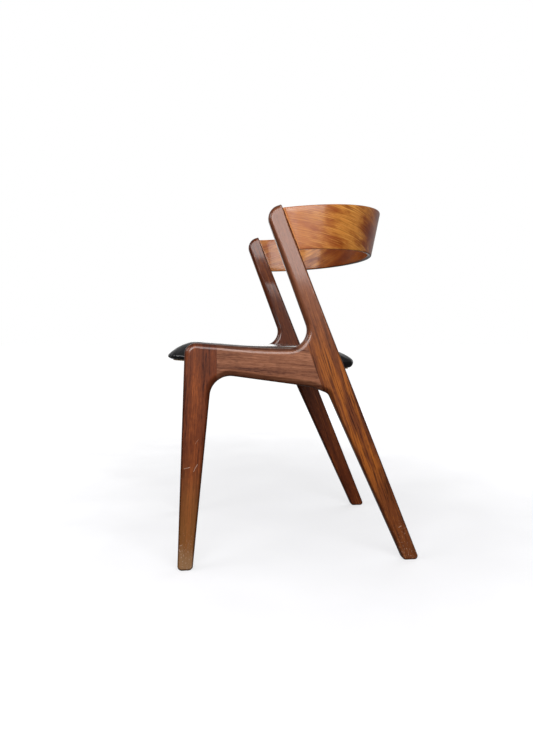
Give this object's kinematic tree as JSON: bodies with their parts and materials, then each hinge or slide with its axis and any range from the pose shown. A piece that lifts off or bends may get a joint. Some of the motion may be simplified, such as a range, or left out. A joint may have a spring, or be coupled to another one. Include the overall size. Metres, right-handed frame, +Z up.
{
  "type": "dining chair",
  "caption": "Dining chair with rounded wooden side frames, a bent veneer backrest band wrapping behind the posts and a black leather seat on cross rails.",
  "frame": {"origin": "on the floor, at the middle of the chair's bounding box", "axes": "+Z up; the chair faces -Y; +X is the sitter's left"},
  "size_m": [0.5154, 0.5374, 0.7729],
  "materials": {
    "frame_wood": "oiled teak, reddish brown, satin",
    "band_veneer": "lacquered teak veneer, golden brown, satin",
    "cross_rail_wood": "plain oiled wood",
    "dowel_wood": "raw beech",
    "black_leather": "smooth black leather, semi-gloss",
    "seat_foam": "foam padding",
    "plywood": "raw plywood",
    "dust_cloth": "plain woven cloth",
    "screw_steel": "zinc-plated"
  },
  "bodies": {
    "root": {"back_band": "band_veneer", "back_post_left": "frame_wood", "back_post_right": "frame_wood", "band_dowel_lower_left": "dowel_wood", "band_dowel_lower_right": "dowel_wood", "band_dowel_upper_left": "dowel_wood", "band_dowel_upper_right": "dowel_wood", "front_cross_dowel_lower_left": "dowel_wood", "front_cross_dowel_lower_right": "dowel_wood", "front_cross_dowel_upper_left": "dowel_wood", "front_cross_dowel_upper_right": "dowel_wood", "front_cross_rail": "cross_rail_wood", "front_leg_left": "frame_wood", "front_leg_right": "frame_wood", "leg_dowel_lower_left": "dowel_wood", "leg_dowel_lower_right": "dowel_wood", "leg_dowel_upper_left": "dowel_wood", "leg_dowel_upper_right": "dowel_wood", "rail_dowel_lower_left": "dowel_wood", "rail_dowel_lower_right": "dowel_wood", "rail_dowel_upper_left": "dowel_wood", "rail_dowel_upper_right": "dowel_wood", "rear_cross_dowel_lower_left": "dowel_wood", "rear_cross_dowel_lower_right": "dowel_wood", "rear_cross_dowel_upper_left": "dowel_wood", "rear_cross_dowel_upper_right": "dowel_wood", "rear_cross_rail": "cross_rail_wood", "seat_board": "plywood", "seat_cover": "black_leather", "seat_dust_cover": "dust_cloth", "seat_foam": "seat_foam", "seat_screw_front_left": "screw_steel", "seat_screw_front_right": "screw_steel", "seat_screw_rear_left": "screw_steel", "seat_screw_rear_right": "screw_steel", "side_rail_left": "frame_wood", "side_rail_right": "frame_wood"}
  },
  "joints": []
}
